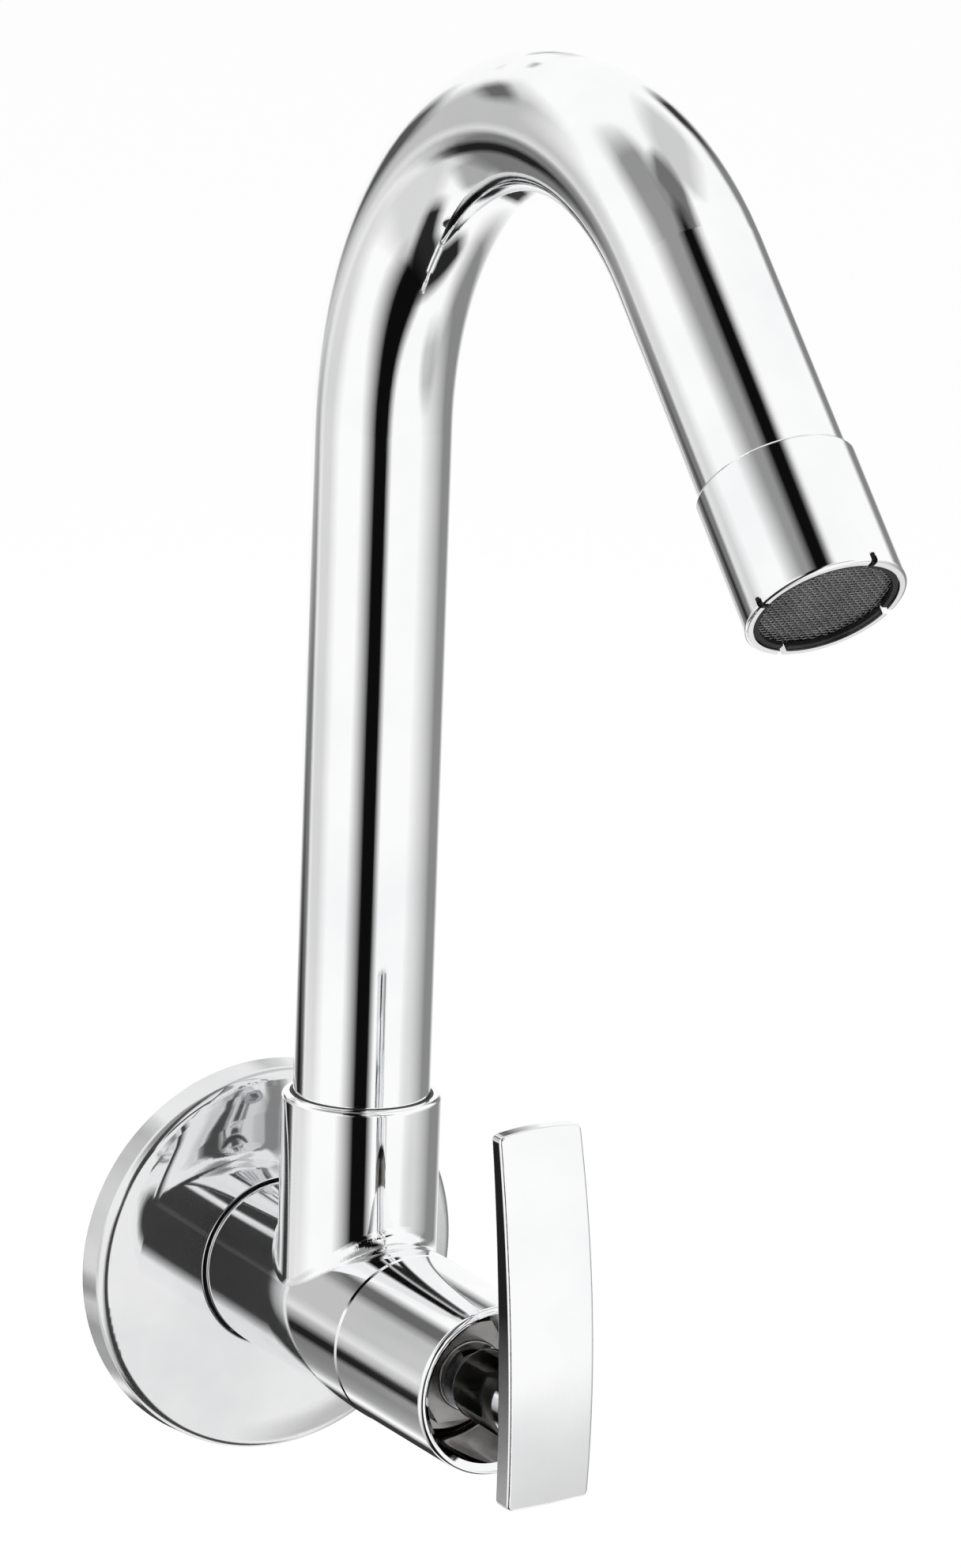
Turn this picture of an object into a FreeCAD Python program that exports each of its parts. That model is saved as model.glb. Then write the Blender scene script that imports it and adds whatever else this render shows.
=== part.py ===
import FreeCAD, Part
import os
from math import cos, pi, radians, sin, sqrt, tan
from FreeCAD import Placement, Rotation, Vector

# Wall-mounted single-lever tap with a swivelling bent spout, in millimetres.
# The origin is on the inlet's axis, in the plane of the wall. The barrel runs
# out from the wall along -Y, +Z is up and X goes across. Three bodies move:
# the fixed tap, the spout (turns about the collar's upright axis) and the
# handle with its spindle and moving disc (turns about the barrel's axis).

# Fits between pieces, measured on the radius or from face to face
slip_fit = 0.30
turning_fit = 0.05
swivel_fit = 0.07
face_fit = 0.05
seat_fit = 0.03
thread_fit = 0.08
slot_fit = 0.10
ring_fit = 0.02

# Barrel of the valve body: stations are distances out from the wall
barrel_radius = 15.2
barrel_start = 3.0
barrel_end = 57.5
barrel_edge_round = 1.0
barrel_seam_bevel = 0.35

# Inlet tail, a half-inch pipe thread that screws into the wall fitting
pipe_thread_radius = 10.4775
pipe_thread_depth = 1.162
pipe_thread_pitch = 1.814
tail_length = 15.0
tail_neck_length = 1.6
inlet_bore_radius = 6.0

# Upright collar of the valve body, which carries the spout
collar_from_wall = 35.9
collar_radius = 13.95
collar_top = 39.0
collar_blend = 3.0
collar_rim_round = 0.9
collar_bore_radius = 9.5
collar_bore_floor = 14.2
port_radius = 6.3
port_floor = 8.3

# Front of the valve body, where headwork and bonnet screw on
chamber_radius = 10.8
nose_length = 9.3
nose_radius = 12.65
fine_thread_depth = 0.55
fine_thread_pitch = 1.0
bonnet_thread_length = 5.6
headwork_thread_radius = 10.0
headwork_thread_depth = 0.92
headwork_thread_pitch = 1.5
headwork_thread_length = 9.6

# Wall flange, pressed from sheet: its flat face bends back a little towards the rim,
# and a pocket behind the face holds the ring that grips the barrel
flange_radius = 36.0
flange_taper = 0.6
flange_depth = 7.4
flange_wall = 1.0
flange_bend_inset = 5.3
flange_bend_round = 24.0
flange_bend_slope = 0.185
flange_rim_round = 2.2
flange_hole_round = 0.5
flange_pocket_radius = 16.3
flange_pocket_depth = 2.0

# Bonnet, the tapered sleeve over the headwork
bonnet_length = 30.0
bonnet_back_radius = 15.1
bonnet_front_radius = 14.8
bonnet_bore_radius = 12.85
bonnet_lip_round = 0.9

# Headwork: the screwed-in valve cartridge
seat_behind_collar_axis = 0.9
housing_radius = 9.0
housing_wall = 1.0
housing_stand_off = 1.0
seal_height = 2.5
seal_bore_radius = 5.3
disc_hole_inner = 2.2
disc_hole_outer = 5.2
disc_hole_width = 76.0
fixed_disc_height = 3.5
disc_ear_width = 3.0
moving_disc_height = 3.2
moving_cut_width = 80.0
moving_disc_play = 0.4
window_width = 70.0
window_height = 5.4
gasket_height = 1.2
gasket_radius = 12.0
headwork_flange_radius = 12.2
headwork_flange_height = 2.0
hex_across_flats = 17.0
hex_height = 6.0
headwork_nose_radius = 6.3
headwork_nose_height = 2.5
stop_key_width = 30.0
stop_key_inner = 6.6
handle_travel = 90.0
stop_play = 0.5

# Spindle
spindle_radius = 4.5
drive_flange_radius = 6.2
drive_flange_height = 3.0
drive_lug_radius = 7.7
drive_tongue_width = 3.0
drive_tongue_length = 12.0
drive_tongue_height = 1.3
thrust_washer_height = 1.1
spindle_ring_section = 0.68
spindle_ring_station = 8.0
spindle_ring_pitch = 5.0
circlip_height = 1.0
circlip_radius = 6.0
circlip_groove_depth = 0.8
circlip_gap_width = 60.0
spline_shoulder = 2.6
spline_radius = 4.0
spline_depth = 0.4
spline_teeth = 20

# Handle: a hub and a thin bowed blade, cast in one
handle_lean = 3.0
hub_radius = 6.3
hub_edge_round = 0.6
hub_end_gap = 0.6
blade_stand_off = 14.6
blade_thickness = 4.15
blade_top = 49.8
blade_bottom = -14.5
blade_end_half_width = 7.65
blade_side_bow = 0.35
blade_top_bow = 0.6
blade_bottom_bow = 0.25
blade_front_radius = 205.0
blade_front_apex = 14.0
blade_back_radius = 250.0
blade_back_apex = 18.0
blade_corner_round = 1.1
blade_edge_round = 0.5
hub_blend = 1.5
socket_floor_thickness = 5.2
socket_end_play = 0.5
grub_screw_radius = 2.0
grub_screw_station = 7.0
grub_socket_across_flats = 2.0
grub_socket_depth = 1.4
screw_thread_depth = 0.4
screw_thread_pitch = 0.7
screw_recess = 0.3

# Spout tube
tube_radius = 12.0
tube_wall = 1.2
stem_top = 156.0
bend_radius = 57.15
bend_angle = 136.5
leg_length = 39.4

# Spout ferrule and its seals in the collar
glide_ring_depth = 3.0
glide_ring_height = 0.8
glide_ring_wall = 0.5
ferrule_bore_radius = 6.8
ferrule_end_gap = 0.8
ferrule_shoulder_height = 1.0
ferrule_plug_height = 7.0
spout_ring_section = 0.78
spout_ring_first = 4.0
spout_ring_pitch = 5.0
retaining_groove_height = 3.6
retaining_groove_depth = 1.5
retaining_screw_drop = 5.5
retaining_screw_radius = 2.5
retaining_tip_radius = 1.5
retaining_socket_across_flats = 2.5
retaining_socket_depth = 2.0

# Outlet sleeve and aerator
sleeve_length = 23.0
sleeve_wall = 0.85
sleeve_round = 0.5
sleeve_socket_depth = 6.0
sleeve_throat_radius = 9.7
sleeve_throat_length = 6.5
aerator_thread_radius = 11.0
aerator_thread_length = 5.4
aerator_recess = 0.35
aerator_washer_height = 1.5
aerator_washer_bore = 8.8
aerator_shell_wall = 0.65
aerator_head_radius = 11.5
aerator_head_play = 0.2
aerator_lip_height = 0.7
aerator_lip_radius = 10.6
aerator_notch_depth = 0.9
mouth_relief_radius = 11.6
mouth_relief_depth = 2.6
key_slot_width = 1.2
key_slot_depth = 1.6
key_slot_angle = 80.0
screen_height = 0.3
screen_pitch = 1.2
screen_wire = 0.42
diffuser_top = 1.0
diffuser_height = 2.0
core_wall = 0.8
diffuser_hole_radius = 0.55
diffuser_ring_pitch = 2.4
diffuser_ring_count = 3
diffuser_ring_jets = 6

# Stations that follow from the sizes above
seat = collar_from_wall - seat_behind_collar_axis
housing_start = seat + housing_stand_off
seal_front = seat + seal_height
fixed_disc_front = seal_front + fixed_disc_height
moving_disc_front = fixed_disc_front + moving_disc_height
drive_back = moving_disc_front + face_fit
drive_front = drive_back + drive_flange_height
washer_back = drive_front + face_fit
washer_front = washer_back + thrust_washer_height
housing_step = washer_front + face_fit
nose_end = barrel_end + nose_length
gasket_front = nose_end + gasket_height
hex_start = gasket_front + headwork_flange_height
hex_end = hex_start + hex_height
headwork_end = hex_end + headwork_nose_height
circlip_start = headwork_end + face_fit
circlip_end = circlip_start + circlip_height
bonnet_front = barrel_end + bonnet_length
blade_back = bonnet_front + blade_stand_off
blade_front = blade_back + blade_thickness
socket_floor = blade_back - socket_floor_thickness
spindle_end = socket_floor - socket_end_play
spline_start = circlip_end + spline_shoulder
hub_start = spline_start + hub_end_gap
housing_bore = housing_radius - housing_wall
glide_ring_floor = collar_top - glide_ring_depth
tube_foot = glide_ring_floor + glide_ring_height + face_fit + ferrule_shoulder_height
tube_bore = tube_radius - tube_wall
ferrule_radius = collar_bore_radius - swivel_fit
sleeve_radius = tube_radius + sleeve_wall
sleeve_start = leg_length
sleeve_end = sleeve_start + sleeve_length
washer_seat = sleeve_start + sleeve_socket_depth + sleeve_throat_length
shell_start = washer_seat + aerator_washer_height
shell_end = sleeve_end - aerator_recess
shell_bore = aerator_thread_radius - fine_thread_depth - aerator_shell_wall
screen_pocket_radius = aerator_head_radius - aerator_shell_wall
relief_start = sleeve_end - mouth_relief_depth
lip_start = shell_end - aerator_lip_height
screens_start = lip_start - 2 * screen_height


# Building blocks: pieces are turned about Z and then placed

def rounded_outline(corners):
    """Closed wire through (radius, height) corners; a third value rounds that corner."""
    points = [Vector(corner[0], 0, corner[1]) for corner in corners]
    entries = []
    exits = []
    edges = []
    for place, corner in enumerate(corners):
        here = points[place]
        if len(corner) == 2:
            entries.append(here)
            exits.append(here)
            continue
        back = (points[place - 1] - here).normalize()
        ahead = (points[(place + 1) % len(points)] - here).normalize()
        half_angle = back.getAngle(ahead) / 2
        reach = corner[2] / tan(half_angle)
        inward = (back + ahead).normalize()
        middle = here + inward * (corner[2] / sin(half_angle) - corner[2])
        entries.append(here + back * reach)
        exits.append(here + ahead * reach)
        edges.append(Part.Arc(entries[-1], middle, exits[-1]).toShape())
    for place, entry in enumerate(entries):
        if exits[place - 1].distanceToPoint(entry) > 1e-6:
            edges.append(Part.makeLine(exits[place - 1], entry))
    return Part.Wire(Part.__sortEdges__(edges))


def turned(corners):
    """Solid turned about Z from an outline of (radius, height) corners."""
    return Part.Face(rounded_outline(corners)).revolve(Vector(0, 0, 0), Vector(0, 0, 1), 360)


def rod(radius, low, high):
    """Plain round bar about Z."""
    return turned([(0, low), (radius, low), (radius, high), (0, high)])


def ring(outer, inner, low, high):
    """Plain round tube or washer about Z."""
    return turned([(inner, low), (outer, low), (outer, high), (inner, high)])


def sector(inner, outer, width, middle, low, high):
    """Part of a ring that covers an angle of width degrees about its middle."""
    face = Part.Face(rounded_outline([(inner, low), (outer, low), (outer, high), (inner, high)]))
    piece = face.revolve(Vector(0, 0, 0), Vector(0, 0, 1), width)
    piece.rotate(Vector(0, 0, 0), Vector(0, 0, 1), middle - width / 2)
    return piece


def thread_corners(crest, depth, pitch, start, length):
    """Outline of a screw thread cut as ridges, from its root at start."""
    corners = []
    for turn in range(int(length / pitch)):
        foot = start + turn * pitch
        corners.append((crest - depth, foot))
        corners.append((crest, foot + 0.3 * pitch))
        corners.append((crest, foot + 0.5 * pitch))
        corners.append((crest - depth, foot + 0.8 * pitch))
    return corners


def tapped_hole(crest, depth, pitch, start, length, end):
    """Solid to cut from a piece that a thread of the same sizes screws into."""
    ridges = thread_corners(crest + thread_fit, depth, pitch, start, length)
    root = crest + thread_fit - depth
    return turned([(0, start)] + ridges + [(root, end), (0, end)])


def prism(points, low, high):
    """Upright solid on a closed outline of (x, y) points."""
    corners = [Vector(x, y, low) for x, y in points]
    return Part.Face(Part.makePolygon(corners + corners[:1])).extrude(Vector(0, 0, high - low))


def hexagon(across_flats, low, high):
    """Upright six-sided bar."""
    corner = across_flats / 2 / cos(radians(30))
    angles = [radians(60 * side) for side in range(6)]
    return prism([(corner * cos(a), corner * sin(a)) for a in angles], low, high)


def bar(width, length, low, high):
    """Rectangular block about Z, its length along X."""
    sides = [(-length / 2, -width / 2), (length / 2, -width / 2)]
    return prism(sides + [(-x, -y) for x, y in sides], low, high)


def splined(growth, low, high):
    """Toothed bar of the spindle's end, grown on the radius to make its socket."""
    points = []
    for step in range(2 * spline_teeth):
        radius = spline_radius + growth - (step % 2) * spline_depth
        angle = pi * step / spline_teeth
        points.append((radius * cos(angle), radius * sin(angle)))
    return prism(points, low, high)


def o_ring(centre_radius, section, height):
    """Round-section ring about Z."""
    return Part.makeTorus(centre_radius, section, Vector(0, 0, height), Vector(0, 0, 1))


# Placing: each takes a piece made about Z to its place in the tap

def on_barrel(shape):
    """Lays the piece along the barrel: heights become stations, and Y becomes up."""
    placed = shape.copy()
    placed.rotate(Vector(0, 0, 0), Vector(1, 0, 0), 90)
    return placed


def on_collar(shape):
    """Stands the piece on the collar's axis."""
    return shape.translated(Vector(0, -collar_from_wall, 0))


def on_handle(shape):
    """Lays the piece along the barrel, turned by the lean of the handle."""
    placed = shape.copy()
    placed.rotate(Vector(0, 0, 0), Vector(0, 0, 1), handle_lean)
    return on_barrel(placed)


def bend_end():
    """Point on the spout's centre line where the bend ends."""
    turn = radians(bend_angle)
    across = collar_from_wall + bend_radius - bend_radius * cos(turn)
    return Vector(0, -across, stem_top + bend_radius * sin(turn))


def on_leg(shape):
    """Puts the piece on the spout's last straight leg: heights run towards the outlet."""
    placed = shape.copy()
    placed.rotate(Vector(0, 0, 0), Vector(1, 0, 0), bend_angle)
    return placed.translated(bend_end())


# The fixed tap

def body_outside():
    """Barrel with its threads, and the collar blended onto it."""
    tail_root = pipe_thread_radius - pipe_thread_depth
    tail = thread_corners(pipe_thread_radius, pipe_thread_depth, pipe_thread_pitch,
                          -tail_length, tail_length + barrel_start - tail_neck_length)
    nose_root = nose_radius - fine_thread_depth
    nose = thread_corners(nose_radius, fine_thread_depth, fine_thread_pitch,
                          barrel_end + fine_thread_pitch, bonnet_thread_length)
    outline = [(0, -tail_length)] + tail
    outline.append((tail_root, barrel_start))
    outline.append((barrel_radius, barrel_start, barrel_edge_round))
    outline.append((barrel_radius, barrel_end - barrel_seam_bevel))
    outline.append((barrel_radius - barrel_seam_bevel, barrel_end))
    outline.append((nose_root, barrel_end))
    outline += nose
    outline.append((nose_root, nose_end))
    outline.append((0, nose_end))
    collar = turned([(0, 0), (collar_radius, 0),
                     (collar_radius, collar_top, collar_rim_round), (0, collar_top)])
    joined = on_barrel(turned(outline)).fuse(on_collar(collar)).removeSplitter()
    seam = [edge for edge in joined.Edges if edge.Curve.TypeId == "Part::GeomBSplineCurve"]
    return joined.makeFillet(collar_blend, seam)


def retaining_screw_height():
    """Height of the screw that holds the spout down."""
    return glide_ring_floor - retaining_screw_drop


def in_collar_back(shape):
    """Turns the piece so that its heights run from the collar's axis towards the wall."""
    placed = shape.copy()
    placed.rotate(Vector(0, 0, 0), Vector(1, 0, 0), -90)
    return on_collar(placed).translated(Vector(0, 0, retaining_screw_height()))


def valve_body():
    """Cast body: inlet tail, barrel, nose and collar, bored for water, headwork and spout."""
    body = body_outside()
    body = body.cut(on_barrel(rod(inlet_bore_radius, -tail_length, seat)))
    headwork_thread_start = nose_end - headwork_thread_length
    body = body.cut(on_barrel(rod(chamber_radius, seat, headwork_thread_start)))
    body = body.cut(on_barrel(tapped_hole(
        headwork_thread_radius, headwork_thread_depth, headwork_thread_pitch,
        headwork_thread_start, headwork_thread_length, nose_end)))
    glide_pocket = tube_radius + turning_fit + glide_ring_wall + ring_fit
    body = body.cut(on_collar(turned([
        (0, port_floor), (port_radius, port_floor), (port_radius, collar_bore_floor),
        (collar_bore_radius, collar_bore_floor), (collar_bore_radius, glide_ring_floor),
        (glide_pocket, glide_ring_floor), (glide_pocket, collar_top), (0, collar_top)])))
    hole_start = collar_bore_radius - screw_thread_pitch
    return body.cut(in_collar_back(tapped_hole(
        retaining_screw_radius, screw_thread_depth, screw_thread_pitch,
        hole_start, collar_radius - hole_start, collar_radius + slip_fit)))


def wall_flange():
    """Pressed cover plate that slides along the barrel and hides the hole in the wall."""
    inside = flange_radius - flange_wall
    floor = flange_depth - flange_wall
    bend_place = flange_radius - flange_bend_inset
    front_drop = flange_bend_slope * (flange_bend_inset - flange_taper)
    inner_drop = front_drop - flange_bend_slope * flange_wall
    pocket_back = floor - flange_pocket_depth
    return on_barrel(turned([
        (inside, 0), (flange_radius, 0, 0.3),
        (flange_radius - flange_taper, flange_depth - front_drop, flange_rim_round),
        (bend_place, flange_depth, flange_bend_round),
        (barrel_radius + slip_fit, flange_depth, flange_hole_round),
        (barrel_radius + slip_fit, floor),
        (flange_pocket_radius, floor), (flange_pocket_radius, pocket_back),
        (flange_pocket_radius + flange_wall, pocket_back),
        (flange_pocket_radius + flange_wall, floor),
        (bend_place, floor, flange_bend_round - flange_wall),
        (inside - flange_taper, floor - inner_drop, flange_rim_round - flange_wall)]))


def flange_grip_ring():
    """Rubber ring in the pocket behind the flange's face, which grips the barrel."""
    section = (flange_pocket_radius - barrel_radius) / 2 - ring_fit
    station = flange_depth - flange_wall - section - ring_fit
    return on_barrel(o_ring((flange_pocket_radius + barrel_radius) / 2, section, station))


def bonnet_sleeve():
    """Tapered bright sleeve that screws onto the nose and covers the headwork."""
    outside = turned([
        (0, barrel_end), (bonnet_back_radius - barrel_seam_bevel, barrel_end),
        (bonnet_back_radius, barrel_end + barrel_seam_bevel),
        (bonnet_front_radius, bonnet_front, bonnet_lip_round), (0, bonnet_front)])
    thread_start = barrel_end + fine_thread_pitch
    thread_end = thread_start + bonnet_thread_length
    back_bore = nose_radius - fine_thread_depth + thread_fit
    bore = turned([
        (0, thread_end), (bonnet_bore_radius, thread_end),
        (bonnet_bore_radius, bonnet_front - bonnet_lip_round),
        (bonnet_bore_radius + bonnet_lip_round, bonnet_front), (0, bonnet_front)])
    thread = tapped_hole(nose_radius, fine_thread_depth, fine_thread_pitch,
                         thread_start, bonnet_thread_length, thread_end)
    sleeve = outside.cut(bore).cut(thread).cut(rod(back_bore, barrel_end, thread_start))
    return on_barrel(sleeve)


def headwork_body():
    """Brass cartridge body: disc housing with windows, screw thread, hexagon and nose."""
    root = headwork_thread_radius - headwork_thread_depth
    thread_start = nose_end - headwork_thread_length
    outline = [(housing_bore, housing_start), (housing_radius, housing_start),
               (housing_radius, thread_start)]
    outline += thread_corners(headwork_thread_radius, headwork_thread_depth,
                              headwork_thread_pitch, thread_start, headwork_thread_length)
    outline += [(root, gasket_front), (headwork_flange_radius, gasket_front, 0.4),
                (headwork_flange_radius, hex_start, 0.4), (headwork_nose_radius, hex_start),
                (headwork_nose_radius, headwork_end, 0.4),
                (spindle_radius + turning_fit, headwork_end),
                (spindle_radius + turning_fit, housing_step), (housing_bore, housing_step)]
    shell = turned(outline)
    nut = hexagon(hex_across_flats, hex_start, hex_end)
    shell = shell.fuse(nut.cut(rod(headwork_nose_radius - 0.5, hex_start, hex_end)))
    for side in (0, 180):
        window_start = fixed_disc_front + moving_disc_play
        shell = shell.cut(sector(housing_bore - 0.5, housing_radius + 0.5, window_width,
                                 side, window_start, window_start + window_height))
        shell = shell.fuse(sector(stop_key_inner, housing_bore + 0.3, stop_key_width,
                                  side + 90, drive_back, housing_step))
    ear_slot = bar(2 * (housing_radius + 1), disc_ear_width + 2 * slot_fit,
                   housing_start, fixed_disc_front)
    return on_barrel(shell.cut(ear_slot).removeSplitter())


def headwork_gasket():
    """Fibre washer between the nose of the body and the headwork's flange."""
    inner = headwork_thread_radius - headwork_thread_depth + slot_fit
    return on_barrel(ring(gasket_radius, inner, nose_end, gasket_front))


def seat_seal():
    """Rubber ring that seals the fixed disc against the seat in the body."""
    return on_barrel(ring(housing_bore - seat_fit, seal_bore_radius, seat, seal_front))


def fixed_disc():
    """Ceramic disc with two holes, kept from turning by two ears."""
    disc = rod(housing_bore - seat_fit, seal_front, fixed_disc_front)
    ears = bar(2 * (housing_radius - slot_fit), disc_ear_width, seal_front, fixed_disc_front)
    disc = disc.fuse(ears)
    for side in (0, 180):
        disc = disc.cut(sector(disc_hole_inner, disc_hole_outer, disc_hole_width,
                               side, seal_front, fixed_disc_front))
    return on_barrel(disc.removeSplitter())


def spout_glide_ring():
    """Black plastic ring in the collar's mouth, on which the spout stands and turns."""
    inner = tube_radius + turning_fit
    outer = inner + glide_ring_wall
    return on_collar(turned([
        (collar_bore_radius + slot_fit, glide_ring_floor), (outer, glide_ring_floor),
        (outer, collar_top), (inner, collar_top),
        (inner, glide_ring_floor + glide_ring_height),
        (collar_bore_radius + slot_fit, glide_ring_floor + glide_ring_height)]))


def spout_retaining_screw():
    """Socket screw in the back of the collar, its tip in the ferrule's groove."""
    tip = ferrule_radius - retaining_groove_depth + slip_fit
    head = collar_radius - screw_recess
    ridges = thread_corners(retaining_screw_radius, screw_thread_depth, screw_thread_pitch,
                            collar_bore_radius, head - collar_bore_radius)
    root = retaining_screw_radius - screw_thread_depth
    screw = turned([(0, tip), (retaining_tip_radius, tip),
                    (retaining_tip_radius, collar_bore_radius)]
                   + ridges + [(root, head), (0, head)])
    socket = hexagon(retaining_socket_across_flats, head - retaining_socket_depth, head)
    return in_collar_back(screw.cut(socket))


# The spout and its outlet

def spout_tube():
    """Bright bent tube: upright stem, half-round bend and the leg that slopes to the outlet."""
    stem = on_collar(ring(tube_radius, tube_bore, tube_foot, stem_top))
    start = Vector(0, -collar_from_wall, stem_top)
    rims = [Part.Wire(Part.makeCircle(radius, start)) for radius in (tube_radius, tube_bore)]
    centre = start - Vector(0, bend_radius, 0)
    bend = Part.Face(rims).revolve(centre, Vector(1, 0, 0), bend_angle)
    leg = on_leg(ring(tube_radius, tube_bore, 0, sleeve_start + sleeve_socket_depth))
    return stem.fuse([bend, leg]).removeSplitter()


def spout_ring_heights():
    """Heights of the two seals on the ferrule."""
    first = collar_bore_floor + ferrule_end_gap + spout_ring_first
    return [first, first + spout_ring_pitch]


def groove(outer, root, middle, width):
    """Ring to cut from a shaft so that a seal or a screw's tip has its groove."""
    return ring(outer + 1, root, middle - width / 2, middle + width / 2)


def spout_ferrule():
    """Brass end piece brazed into the tube, with grooves for seals and retaining screw."""
    shoulder = tube_foot - ferrule_shoulder_height
    foot = collar_bore_floor + ferrule_end_gap
    top = tube_foot + ferrule_plug_height
    plug_radius = tube_bore - ring_fit
    ferrule = turned([
        (ferrule_bore_radius, foot), (ferrule_radius, foot, 0.5), (ferrule_radius, shoulder),
        (tube_radius, shoulder), (tube_radius, tube_foot), (plug_radius, tube_foot),
        (plug_radius, top, 0.5), (ferrule_bore_radius, top)])
    for height in spout_ring_heights():
        root = collar_bore_radius - 2 * ring_fit - 2 * spout_ring_section
        ferrule = ferrule.cut(groove(ferrule_radius, root, height, 2.4 * spout_ring_section))
    root = ferrule_radius - retaining_groove_depth
    ferrule = ferrule.cut(groove(ferrule_radius, root, retaining_screw_height(),
                                 retaining_groove_height))
    return on_collar(ferrule)


def spout_o_rings():
    """Two rubber rings in the ferrule's lower grooves."""
    centre = collar_bore_radius - ring_fit - spout_ring_section
    return [on_collar(o_ring(centre, spout_ring_section, height))
            for height in spout_ring_heights()]


def key_slots(floor):
    """Four narrow blocks to cut from the outlet's rim down to a floor, for the key."""
    half = key_slot_width / 2
    near = aerator_lip_radius - 1
    far = sleeve_radius + 1
    block = prism([(near, -half), (far, -half), (far, half), (near, half)], floor, sleeve_end + 1)
    block.rotate(Vector(0, 0, 0), Vector(0, 0, 1), key_slot_angle)
    blocks = [block.copy() for quarter in range(4)]
    for quarter, turned_block in enumerate(blocks):
        turned_block.rotate(Vector(0, 0, 0), Vector(0, 0, 1), 90 * quarter)
    return blocks


def outlet_sleeve():
    """Bright sleeve soldered over the tube's end, tapped for the aerator, with key slots."""
    socket_end = sleeve_start + sleeve_socket_depth
    thread_start = shell_start + fine_thread_pitch / 2
    minor = aerator_thread_radius - fine_thread_depth + thread_fit
    sleeve = turned([
        (tube_radius + ring_fit, sleeve_start), (sleeve_radius, sleeve_start, sleeve_round),
        (sleeve_radius, sleeve_end, sleeve_round), (mouth_relief_radius, sleeve_end),
        (mouth_relief_radius, relief_start), (minor, relief_start),
        (minor, washer_seat), (sleeve_throat_radius, washer_seat),
        (sleeve_throat_radius, socket_end), (tube_radius + ring_fit, socket_end)])
    thread = tapped_hole(aerator_thread_radius, fine_thread_depth, fine_thread_pitch,
                         thread_start, aerator_thread_length, sleeve_end)
    return on_leg(sleeve.cut(thread).cut(key_slots(sleeve_end - key_slot_depth)))


def aerator_washer():
    """Rubber washer between the sleeve's inner shoulder and the aerator."""
    outer = aerator_thread_radius - fine_thread_depth
    return on_leg(ring(outer, aerator_washer_bore, washer_seat, shell_start))


def aerator_shell():
    """Screwed plastic ring with a wider notched head, which holds the aerator's inside."""
    root = aerator_thread_radius - fine_thread_depth
    thread_start = shell_start + fine_thread_pitch / 2
    head_start = relief_start + aerator_head_play
    outline = [(shell_bore, shell_start), (root, shell_start)]
    outline += thread_corners(aerator_thread_radius, fine_thread_depth, fine_thread_pitch,
                              thread_start, aerator_thread_length)
    outline += [(root, head_start), (aerator_head_radius, head_start),
                (aerator_head_radius, shell_end), (aerator_lip_radius, shell_end),
                (aerator_lip_radius, lip_start), (screen_pocket_radius, lip_start),
                (screen_pocket_radius, screens_start), (shell_bore, screens_start)]
    return on_leg(turned(outline).cut(key_slots(shell_end - aerator_notch_depth)))


def aerator_core():
    """Plastic cup inside the aerator, with a plate of jets across it."""
    outer = shell_bore - seat_fit
    inner = outer - core_wall
    plate_top = shell_start + diffuser_top
    core = turned([
        (0, plate_top), (inner, plate_top), (inner, shell_start), (outer, shell_start),
        (outer, screens_start), (inner, screens_start),
        (inner, plate_top + diffuser_height), (0, plate_top + diffuser_height)])
    jets = [rod(diffuser_hole_radius, plate_top, plate_top + diffuser_height)]
    for circle in range(1, diffuser_ring_count + 1):
        radius = circle * diffuser_ring_pitch
        for place in range(circle * diffuser_ring_jets):
            angle = 2 * pi * place / (circle * diffuser_ring_jets)
            jets.append(jets[0].translated(Vector(radius * cos(angle), radius * sin(angle), 0)))
    return on_leg(core.cut(jets))


def screen_disc(low, turn):
    """Gauze disc: a thin round plate with square gaps between its wires."""
    radius = screen_pocket_radius - seat_fit
    rims = [Part.Wire(Part.makeCircle(radius, Vector(0, 0, low)))]
    half_gap = (screen_pitch - screen_wire) / 2
    reach = int(radius / screen_pitch)
    clear_radius = aerator_lip_radius - screen_wire
    for column in range(-reach, reach + 1):
        for row in range(-reach, reach + 1):
            x = column * screen_pitch
            y = row * screen_pitch
            if sqrt((abs(x) + half_gap) ** 2 + (abs(y) + half_gap) ** 2) > clear_radius:
                continue
            gap = [(x - half_gap, y - half_gap), (x + half_gap, y - half_gap),
                   (x + half_gap, y + half_gap), (x - half_gap, y + half_gap)]
            corners = [Vector(a, b, low) for a, b in gap]
            rims.append(Part.makePolygon(corners + corners[:1]))
    gauze = Part.makeFace(rims, "Part::FaceMakerBullseye")
    disc = gauze.extrude(Vector(0, 0, screen_height))
    disc.rotate(Vector(0, 0, 0), Vector(0, 0, 1), turn)
    return on_leg(disc)


def aerator_screens():
    """Two gauze discs held by the lip of the shell, the second turned on the first."""
    return [screen_disc(screens_start, 45), screen_disc(screens_start + screen_height, 0)]


# The handle and what turns with it

def moving_disc():
    """Ceramic disc that turns on the fixed one, with two cut-outs and a slot for the spindle."""
    radius = housing_bore - moving_disc_play
    disc = rod(radius, fixed_disc_front, moving_disc_front)
    for side in (90, 270):
        disc = disc.cut(sector(disc_hole_inner, radius + 1, moving_cut_width,
                               side, fixed_disc_front, moving_disc_front))
    slot = bar(drive_tongue_width + slot_fit, 2 * radius + 2,
               moving_disc_front - drive_tongue_height - face_fit, moving_disc_front)
    return on_barrel(disc.cut(slot))


def spindle_ring_stations():
    """Stations of the two seals on the spindle."""
    first = housing_step + spindle_ring_station
    return [first, first + spindle_ring_pitch]


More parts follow.
